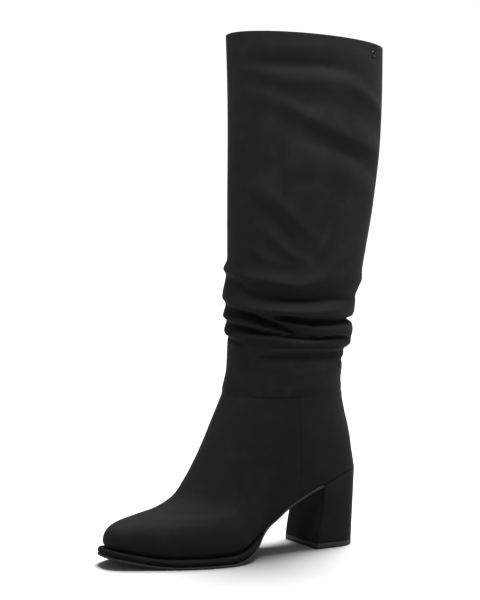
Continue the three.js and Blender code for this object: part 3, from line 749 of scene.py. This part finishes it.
# Rolls and creases of the slouch, laid one by one. A path goes round the boot by bearing, 0 at
# the front and 90 at the outer side, with its height above the floor and how far it stands
# out in millimetres, less than 0 for a crease. Over and under are its fades above and below,
# each one number for the whole path or one for each bearing.
fold_rows = ("bearing", "height", "out", "over", "under")
rolls = [
    (  # first roll under the leg
        [-180, -130, -90, -22, 6, 26, 48, 71, 90, 115, 153, 180],
        [241, 243, 247, 252.3, 247.4, 245.2, 241, 238.2, 241.5, 242, 241.4, 241],
        [1.4, 2, 2.6, 3.1, 3.5, 4.2, 4.6, 4.2, 2.6, 1.4, 1.4, 1.4],
        [6, 6, 5, 4.7, 4.6, 5.4, 6.4, 6.4, 7, 8, 6, 6],
        [5, 5, 4.5, 4, 3.6, 3.2, 3.4, 4.2, 6.5, 7, 5, 5],
    ),
    (  # its branch, which climbs to the calf
        [72, 86, 94, 104, 118, 134, 150],
        [238, 243, 248, 256, 265, 272, 277],
        [0, 1.2, 2, 2.3, 2.1, 1.2, 0],
        12,
        8,
    ),
    (  # hollow between the first and the second roll
        [-180, -90, -22, 14, 21, 32, 49, 73, 110, 153, 180],
        [227, 236, 246, 238, 232, 228, 225.6, 224.8, 224.8, 226.5, 227],
        [-1.2, -1.2, 0, -1.8, -3.2, -4.6, -5.2, -4.6, -3.2, -1.2, -1.2],
        5.5,
        3.6,
    ),
    (  # second roll, the fullest in front
        [-180, -135, -90, -22, 2, 14, 27, 52, 83, 103, 125, 153, 180],
        [214, 217, 222, 227.2, 223, 220.5, 218.6, 216.4, 214.6, 214.8, 214.6, 213, 214],
        [1.4, 3, 4.4, 4.3, 5, 5.4, 6, 6.7, 6.4, 4.9, 2.6, 0.8, 1],
        [6, 9, 12, 15, 10, 7.4, 5.8, 4.8, 4.7, 5.2, 6, 6, 6],
        [4, 4.5, 5, 4.8, 5, 5, 5, 4.4, 4.4, 4.4, 4, 3.4, 4],
    ),
    (  # slanting crease from the instep down to the outer side
        [-18, 0, 16, 30, 39, 49, 59, 68, 78],
        [218, 214.5, 212.4, 209.6, 206, 203.2, 200.5, 197, 194],
        [0, -3.8, -7.6, -9.2, -8.8, -7.6, -6.4, -4, 0],
        [3, 3.6, 4.2, 4.2, 3.6, 2.8, 2.4, 2.2, 2.2],
        [3, 3.2, 3.6, 3.4, 3, 2.6, 2.2, 2, 2],
    ),
    (  # crease under the second roll, round the back to the inner side
        [46, 54, 65, 75, 86, 100, 126, 153, 180, 225, 270, 300, 325],
        [211.5, 210.3, 209.2, 207.3, 205.4, 204.9, 204.4, 205.4, 205.6, 208, 213, 216, 218.5],
        [0, -3.4, -5.6, -6.4, -6.4, -6.2, -5.8, -5.4, -5.2, -5, -4.6, -2.6, 0],
        [2.6, 2.6, 2.8, 2.8, 2.8, 2.8, 2.4, 1.9, 2.4, 3, 3.4, 3.4, 3.4],
        [2.6, 2.6, 2.6, 2.6, 2.6, 2.6, 2.4, 2.2, 2.6, 3, 3.2, 3.2, 3.2],
    ),
    (  # third roll, which leaves the instep and ends on the outer side
        [-140, -90, -45, -22, -8, 10, 24, 35, 48, 57, 70],
        [203, 207, 210, 210.2, 208.3, 205.8, 204, 201, 197.8, 195, 192],
        [0, 3.2, 3.9, 4, 4.2, 4.8, 4.8, 4.4, 3.6, 2.2, 0],
        [7, 8, 9, 8.7, 6, 4, 3.4, 3.2, 3, 2.8, 2.6],
        [3, 3, 2.8, 2.6, 2.6, 2.8, 2.8, 2.6, 2.4, 2.2, 2],
    ),
    (  # its partner behind, from the outer side round the heel
        [47, 57, 65, 76, 87, 99, 126, 153, 180, 225, 265],
        [208, 206.4, 204.6, 202, 200, 199, 197.4, 194.8, 195, 199, 203],
        [0, 1.8, 2.8, 3.4, 3.8, 4, 3.4, 2.4, 2.4, 2.4, 0],
        [3, 3, 3.4, 4, 4.4, 4.6, 5.4, 7, 7, 6, 6],
        [2.4, 2.4, 3, 4, 4.6, 5, 7, 11, 10, 7, 6],
    ),
    (  # crease under the third roll, which dies out towards the heel
        [-26, -4, 13, 27, 40, 53, 67, 96, 114, 127, 146],
        [203.5, 201, 199.4, 197.4, 196, 194.8, 191.8, 191, 191.5, 191, 189],
        [0, -2.8, -5.8, -7, -6.6, -5, -4.6, -4.4, -4, -2.6, 0],
        [3, 3.6, 4, 3.8, 3.2, 2.2, 1.6, 1.5, 1.5, 1.5, 1.8],
        [2.4, 2.4, 2.4, 2.3, 2.1, 1.8, 1.4, 1.4, 1.4, 1.4, 1.6],
    ),
    (  # the same crease on the inner side
        [-165, -135, -90, -50, -26],
        [189, 193, 197.5, 202, 204],
        [0, -3, -3.6, -2, 0],
        3,
        2.6,
    ),
    (  # fourth roll, small, just above the ankle
        [-180, -90, -22, -8, 21, 40, 58, 72, 86, 115, 138, 153, 180],
        [184.5, 192.5, 197, 194.4, 192.6, 191.6, 189.8, 188.2, 186.8, 186.6, 184.4, 184, 184.5],
        [2.4, 3, 3.4, 3.3, 3.1, 3.1, 3.1, 3, 2.9, 2.8, 2, 1.8, 2.4],
        [4, 6, 8.5, 6, 3.2, 3, 2.7, 2.6, 2.6, 2.6, 3.4, 4, 4],
        [2.6, 3, 2.7, 3, 3.2, 3.4, 3.4, 3.2, 3, 2.8, 2.3, 2.2, 2.6],
    ),
    (  # the step beneath it behind, where the ankle starts
        [104, 126, 140, 153, 180, 210, 245],
        [181.5, 181, 179.8, 178.7, 179, 180.5, 184],
        [0, -0.8, -1.2, -1.4, -2, -1.2, 0],
        1.6,
        2.8,
    ),
    (  # small tuck in front, under the fourth roll: its dark line, then its ridge
        [-34, -22, -8, 8, 18, 28],
        [191.5, 191.3, 190.2, 187.6, 185.2, 183],
        [0, -0.8, -1, -0.9, -0.6, 0],
        1.8,
        2.2,
    ),
    (
        [-22, -12, 2, 14, 24],
        [188.6, 187.8, 186, 183.6, 181.5],
        [0, 0.6, 0.8, 0.6, 0],
        1.6,
        3,
    ),
    (  # last soft ridge over the ankle, with a fine fold beneath
        [36, 47, 56, 66, 98, 122, 140, 156],
        [176, 178.5, 180.3, 181.2, 180.8, 180.8, 181, 180.6],
        [0, 1, 1.8, 2.1, 2.1, 1.9, 1, 0],
        1.8,
        1.6,
    ),
    (
        [36, 47, 56, 70, 99, 122, 140, 156],
        [173.5, 175.4, 176.4, 177.4, 177.6, 177.4, 176.4, 175],
        [0, -1.3, -2.2, -2.4, -2.4, -2.2, -1.2, 0],
        1.6,
        6,
    ),
    (  # shallow hollows of the ankle, behind
        [118, 134, 150, 180, 215, 240],
        [167, 168.5, 169, 169, 168, 167],
        [0, -0.7, -1.2, -1.2, -0.8, 0],
        2.6,
        3,
    ),
    (
        [118, 134, 150, 180, 215, 240],
        [153, 152, 151, 151, 152, 153],
        [0, -0.8, -1.2, -1.2, -0.8, 0],
        9,
        9,
    ),
    (
        [60, 78, 95, 112, 130, 152],
        [156, 159.5, 162.5, 164, 163.6, 163],
        [0, 0.6, 0.9, 1, 0.7, 0],
        3,
        4.5,
    ),
]

# Long soft folds of the leg, which slant down towards the heel
leg_folds = [
    (  # hollow under the collar's facing
        [8, 30, 57, 80, 98, 116],
        [431, 429.5, 427.5, 427, 425.5, 422],
        [0, -1.7, -2.6, -2.3, -1.2, 0],
        6,
        4,
    ),
    (  # the facing itself, which stands out a little
        [8, 30, 57, 80, 98, 116],
        [443, 443, 443, 443, 442, 440],
        [0, 0.6, 1, 1, 0.6, 0],
        7,
        6,
    ),
    (
        [4, 26, 43, 61, 80, 92, 107, 134, 152],
        [425, 421, 417, 413.5, 414.5, 414.5, 410, 397, 389],
        [0, 0.9, 1.4, 1.6, 1.5, 1.6, 1.9, 1.6, 0],
        7,
        6,
    ),
    (
        [10, 34, 53, 69, 84, 98, 113, 136, 152],
        [417, 411, 402, 397, 396, 393, 388, 378, 372],
        [0, -0.8, -1.3, -1.5, -1.5, -1.6, -1.7, -1.3, 0],
        9,
        8,
    ),
    (
        [14, 40, 53, 65, 77, 93, 114, 136, 152],
        [408, 400, 395.5, 386, 378.5, 371, 363, 357, 353],
        [0, 0.9, 1.4, 1.8, 2, 2, 1.8, 1.3, 0],
        8,
        6,
    ),
    (
        [6, 30, 61, 77, 103, 121, 146],
        [396, 390, 374, 366, 355, 350, 344],
        [0, -1, -1.6, -1.7, -1.6, -1.1, 0],
        7,
        11,
    ),
    (
        [64, 84, 107, 128, 148],
        [352, 344, 333, 324, 317],
        [0, 1, 1.5, 1.3, 0],
        8,
        12,
    ),
    (
        [70, 88, 111, 130, 148],
        [366, 358, 349, 340, 332],
        [0, -1, -1.5, -1.2, 0],
        9,
        5,
    ),
    (
        [0, 20, 30, 42, 57, 72, 86, 100],
        [332, 324, 320, 314, 302, 286, 274, 264],
        [0, 0.9, 1.5, 1.9, 1.7, 1.3, 0.8, 0],
        9,
        6,
    ),
    (
        [0, 27, 48, 58, 70, 79, 94],
        [318, 308, 292, 281, 268, 262, 255],
        [0, -1.2, -1.9, -1.7, -1.2, -0.7, 0],
        6,
        8,
    ),
    (
        [20, 39, 49, 59, 68, 80],
        [296, 283.5, 275, 266.5, 262.5, 258],
        [0, 1.1, 1.4, 1.3, 0.8, 0],
        5,
        4,
    ),
    (
        [8, 27, 37, 50, 62],
        [276, 268.5, 263, 257, 254],
        [0, 0.9, 1.1, 0.8, 0],
        5,
        4,
    ),
    (
        [190, 215, 245, 275, 305, 335],
        [402, 396, 388, 378, 372, 370],
        [0, 1, 1.4, 1.4, 1, 0],
        12,
        9,
    ),
    (
        [190, 220, 250, 280, 310, 340],
        [382, 376, 367, 358, 353, 352],
        [0, -1, -1.4, -1.4, -1, 0],
        9,
        12,
    ),
    (
        [190, 220, 250, 280, 310, 340],
        [300, 306, 312, 309, 300, 290],
        [0, 1.2, 1.7, 1.8, 1.2, 0],
        9,
        8,
    ),
    (
        [190, 220, 250, 280, 310, 340],
        [284, 288, 292, 288, 280, 272],
        [0, -1.2, -1.8, -1.8, -1.2, 0],
        7,
        9,
    ),
]


def relief(bearing, height, folds):
    """How far the leather stands out at bearings in degrees and heights in millimetres. Each
    fold adds its stand-off at that bearing, times the hump of its distance and its fade."""
    total = np.zeros(np.broadcast(bearing, height).shape)
    for rows in folds:
        fold = dict(zip(fold_rows, rows))
        start, end = fold["bearing"][0], fold["bearing"][-1]
        along = start + np.mod(bearing - start, 360)
        away = height - through(fold, "bearing", "height")(along)
        over, under = (
            through(fold, "bearing", key)(along) if isinstance(fold[key], list) else fold[key]
            for key in ("over", "under")
        )
        out = np.where(along <= end, through(fold, "bearing", "out")(along), 0)
        total += out * hump(away, np.where(away > 0, over, under))
    return total


sag_share = 0.2
back_seam = {"swell": 0.3, "swell_width": 4.0, "groove": 0.55, "groove_width": 1.4}
dimple, dimple_width, dimple_drop, mm_per_degree = 0.7, 5.0, 5.0, 0.9


def shaft_skin(share_up, turn):
    """The shaft's outside. Each level section is an ellipse between a front, a back and a
    half-width that the table gives at its share of the height, and it is tilted. The folds
    then move it outwards, and a full roll sags by a share of what it stands out. The back
    seam is a groove between two swells, and the stud's rivet draws in a dimple below it."""
    front = mixed(hem_front, collar_front, share_up) + bow_at(share_up) * collar_depth
    back = mixed(hem_back, collar_back, calf_at(share_up))
    half = mixed(hem_half, collar_width / 2, width_at(share_up))
    share = (1 - np.cos(turn)) / 2
    away = tilt_at(share_up) * (share - 0.5) - 0.5 * collar_dip * share_up / shaft_height
    z = hem_height + shaft_height * (share_up + away)
    x = np.sin(turn) * half
    station = mixed(back, front, share)
    normal_x = np.sin(turn) / half
    normal_s = -2 * np.cos(turn) / (front - back)
    size = np.hypot(normal_x, normal_s)
    bearing = 180 - np.degrees(turn)
    rolled = relief(bearing, z, rolls)
    from_back = np.where(turn > np.pi, turn - 2 * np.pi, turn) * half
    below_stud = z - boot_height + stud_below_collar + dimple_drop
    stud_away = np.hypot((bearing - stud_bearing) * mm_per_degree, below_stud)
    out = rolled + relief(bearing, z, leg_folds) + seam_relief(from_back, back_seam)
    out = out - dimple * hump(stud_away, dimple_width)
    z = z - sag_share * rolled
    return np.stack([x + out * normal_x / size, station + out * normal_s / size, z], -1)


slouch_from, slouch_to = 0.08, 0.4
low_rows = np.linspace(0, slouch_from, 22)[:-1]
slouch_rows = np.linspace(slouch_from, slouch_to, 130)
leg_rows = np.linspace(slouch_to, 1, 78)[1:]
up_shares = np.concatenate([low_rows, slouch_rows, leg_rows])[:, None]
turns = turns_round(shaft_columns)[None, :]
outside = shaft_skin(up_shares, turns)
side_normals = outward(outside)

# The hem is skived thin over its lowest 7 mm. It shows in front of the side seams, and lies
# flush behind them.
hem_skive, sink_behind, sink_in_front = 7.0, 1.5, 0.95
hem_front_share = blend_in(outside[..., 1], seam_at_hem - 10, seam_at_hem + 10)
hem_sink = mixed(sink_behind, sink_in_front, hem_front_share)
hem_sink = hem_sink * (1 - blend_in(outside[..., 2] - hem_height, 0.0, hem_skive))
outside = eased(outside, side_normals, -hem_sink[..., None])

# The lining has fewer rows, most of them behind the rolls. At the hem the wall thins out to
# stay clear of the foot part.
lap_gap = 0.15
inside_rows = np.r_[0:20:5, 20:150:2, 150:len(outside):3, len(outside) - 1]
thin = np.minimum(shaft_wall, stand_off - lap_gap - hem_sink)
inside = eased(outside, side_normals, -thin[..., None])[inside_rows]

# The collar's turned edge: a half round bead from the outside over to the lining
collar_bead = []
for swing in np.radians([30, 60, 90, 120, 150]):
    bead = mixed(outside[-1], inside[-1], (1 - np.cos(swing)) / 2)
    bead[:, 2] += 0.5 * shaft_wall * np.sin(swing)
    collar_bead.append(bead)
tube = np.concatenate([outside[::-1], inside, np.array(collar_bead)[::-1]])
row = np.arange(len(tube))
lined = (row >= len(outside)) & (row < len(outside) + len(inside) - 1)
shaft = lined_piece("slouched_shaft", tube, lined, sharp=60)
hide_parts("shaft")

# STUD. A small plain dome of dark nickel near the back of the collar, riveted through it.
stud_radius, stud_rise, stud_ease = 3.0, 1.6, 0.1
stud_columns = 48
stud_profile = {
    "step": [0, 1, 2, 3, 4, 5, 6],
    "radius": [0, 0.97, 1.0, 0.95, 0.74, 0.4, 0.02],
    "rise": [0, 0, 0.12, 0.42, 0.78, 0.96, 1.0],
}
# Dark nickel plate: nearly black and half glossy, so it shows as one small soft highlight
nickel, tree, shader, place = new_material("dark_nickel")
tarnish = add(tree, "ShaderNodeTexNoise", Vector=place, Scale=scale_for(1.5), Detail=4.0)
nickel_colour = ramp(tree, tarnish, (0.3, "#1e1f22"), (0.7, "#2e2f33"))
nickel_rough = add(tree, "ShaderNodeMapRange", Value=tarnish, To_Min=0.28, To_Max=0.45)
fill(tree, shader, Base_Color=nickel_colour, Metallic=1.0, Roughness=nickel_rough)
steps = np.linspace(0.15, 6, 28)
radius = stud_radius * through(stud_profile, "step", "radius")(steps)[:, None]
rise = stud_rise * through(stud_profile, "step", "rise")(steps)[:, None]
stud_share = np.array([[1 - stud_below_collar / shaft_height]])
stud_turn = np.radians(180 - stud_bearing)


def skin_point(up, round_way):
    """A point of the shaft's outside near the stud, in millimetres of the part's frame."""
    point = shaft_skin(stud_share + up, np.array([[stud_turn + round_way]]))[0, 0]
    return Vector(in_place(*point)) * 1000


# The dome's axis is square to the leather there, and its rings are stacked inwards
seat = skin_point(0, 0)
across = skin_point(0, 0.02) - seat
axis = (skin_point(0.01, 0) - skin_point(-0.01, 0)).cross(across).normalized()
side = across.normalized()
tall = axis.cross(side)
spin = 2 * np.pi * np.arange(stud_columns)[None, :, None] / stud_columns
circle = np.cos(spin) * np.array(side) + np.sin(spin) * np.array(tall)
dome = np.array(seat) + np.array(axis) * (rise + stud_ease)[..., None]
dome = dome + radius[..., None] * circle
stud = slab_piece("collar_stud", dome[::-1] / 1000, nickel)
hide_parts("stud")

# FLOOR. A wide sheet of pale matt paper, so bright under the lights that only the soft
# shadow round the boot shows.
paper, tree, shader, place = new_material("pale_paper")
pulp = add(tree, "ShaderNodeTexNoise", Vector=place, Scale=scale_for(40), Detail=2.0)
paper_colour = ramp(tree, pulp, (0.3, "#e4e4e4"), (0.7, "#e7e7e7"))
fill(tree, shader, Base_Color=paper_colour, Roughness=1.0, Specular_IOR_Level=0.0)
sheet = bpy.data.meshes.new("floor_paper")
reach = 40.0
corners = [(-reach, -reach, 0), (reach, -reach, 0), (reach, reach, 0), (-reach, reach, 0)]
sheet.from_pydata(corners, [], [(0, 1, 2, 3)])
floor = bpy.data.objects.new("floor_paper", sheet)
floor.data.materials.append(paper)
bpy.context.scene.collection.objects.link(floor)

# LIGHT. A dim room with a white backdrop. A wide softbox hangs above and a little behind the
# boot, so its sides are dim, the tops of the folds are lit and the shadow falls forwards. Two
# small softboxes near the collar light the leg from the right and the front, and fade down.
world = bpy.data.worlds.new("white_room")
world.use_nodes = True
bpy.context.scene.world = world
tree = world.node_tree
tree.nodes.clear()
# The backdrop is white to the camera, and lights the room only dimly
seen = add(tree, "ShaderNodeLightPath").outputs["Is Camera Ray"]
strength = add(tree, "ShaderNodeMapRange", Value=seen, To_Min=0.14, To_Max=1.1)
glow = add(tree, "ShaderNodeBackground", Color=(1, 1, 1, 1), Strength=strength)
add(tree, "ShaderNodeOutputWorld", Surface=glow)


def broad_light(name, towards, strength, width):
    """A sun that stands in for a large softbox: it shines along a direction, and its width
    in degrees softens the shadow."""
    lamp = bpy.data.lights.new(name, "SUN")
    lamp.energy = strength
    lamp.angle = math.radians(width)
    holder = bpy.data.objects.new(name, lamp)
    holder.rotation_mode = "QUATERNION"
    holder.rotation_quaternion = Vector(towards).to_track_quat("-Z", "Y")
    bpy.context.scene.collection.objects.link(holder)


def strip_light(name, place, aim, power, size, pieces):
    """A long softbox near the boot, level and aimed at a point, in metres. It fades with the
    square of the distance, and is flagged off the floor: it lights the given pieces only."""
    lamp = bpy.data.lights.new(name, "AREA")
    lamp.shape = "RECTANGLE"
    lamp.energy, lamp.size, lamp.size_y = power, size[0], size[1]
    holder = bpy.data.objects.new(name, lamp)
    holder.location = place
    holder.rotation_mode = "QUATERNION"
    holder.rotation_quaternion = (Vector(aim) - Vector(place)).to_track_quat("-Z", "Y")
    bpy.context.scene.collection.objects.link(holder)
    lit = bpy.data.collections.new(name + "_lights")
    for piece in pieces:
        lit.objects.link(piece)
    holder.light_linking.receiver_collection = lit


boot_pieces = [shaft, upper, heel_block, outsole, midsole, top_piece, stud]
broad_light("overhead_softbox", towards=(0.2, -0.3, -1.0), strength=5.9, width=36)
collar_side = {"place": (0.3, 0.06, 0.97), "aim": (0.02, 0.0, 0.3), "size": (0.8, 0.2)}
front_side = {"place": (-0.25, -0.7, 0.85), "aim": (0.0, 0.0, 0.38), "size": (0.5, 0.3)}
strip_light("collar_softbox", **collar_side, power=13.4, pieces=boot_pieces)
strip_light("front_softbox", **front_side, power=2.8, pieces=boot_pieces)
bpy.context.scene.view_settings.view_transform = "Standard"

# CAMERA. Near the floor, on the outer side and a little in front, tipped slightly down.
camera_bearing, camera_pitch, camera_distance = 60.2, 2.25, 1.25
camera_target = Vector((-0.00104, -0.00655, 0.273))
focal_length_px, picture_height_px = 1416, 600
lens = bpy.data.cameras.new("camera")
lens.sensor_width = 36
lens.lens = 36 * focal_length_px / picture_height_px
lens.clip_start, lens.clip_end = 0.05, 200
camera = bpy.data.objects.new("camera", lens)
turn, tip = math.radians(camera_bearing), math.radians(camera_pitch)
back = Vector((math.sin(turn), -math.cos(turn), 0))
camera.location = camera_target + back * camera_distance
forward = -back * math.cos(tip) + Vector((0, 0, -math.sin(tip)))
camera.rotation_mode = "QUATERNION"
camera.rotation_quaternion = forward.to_track_quat("-Z", "Y")
bpy.context.scene.collection.objects.link(camera)
bpy.context.scene.camera = camera
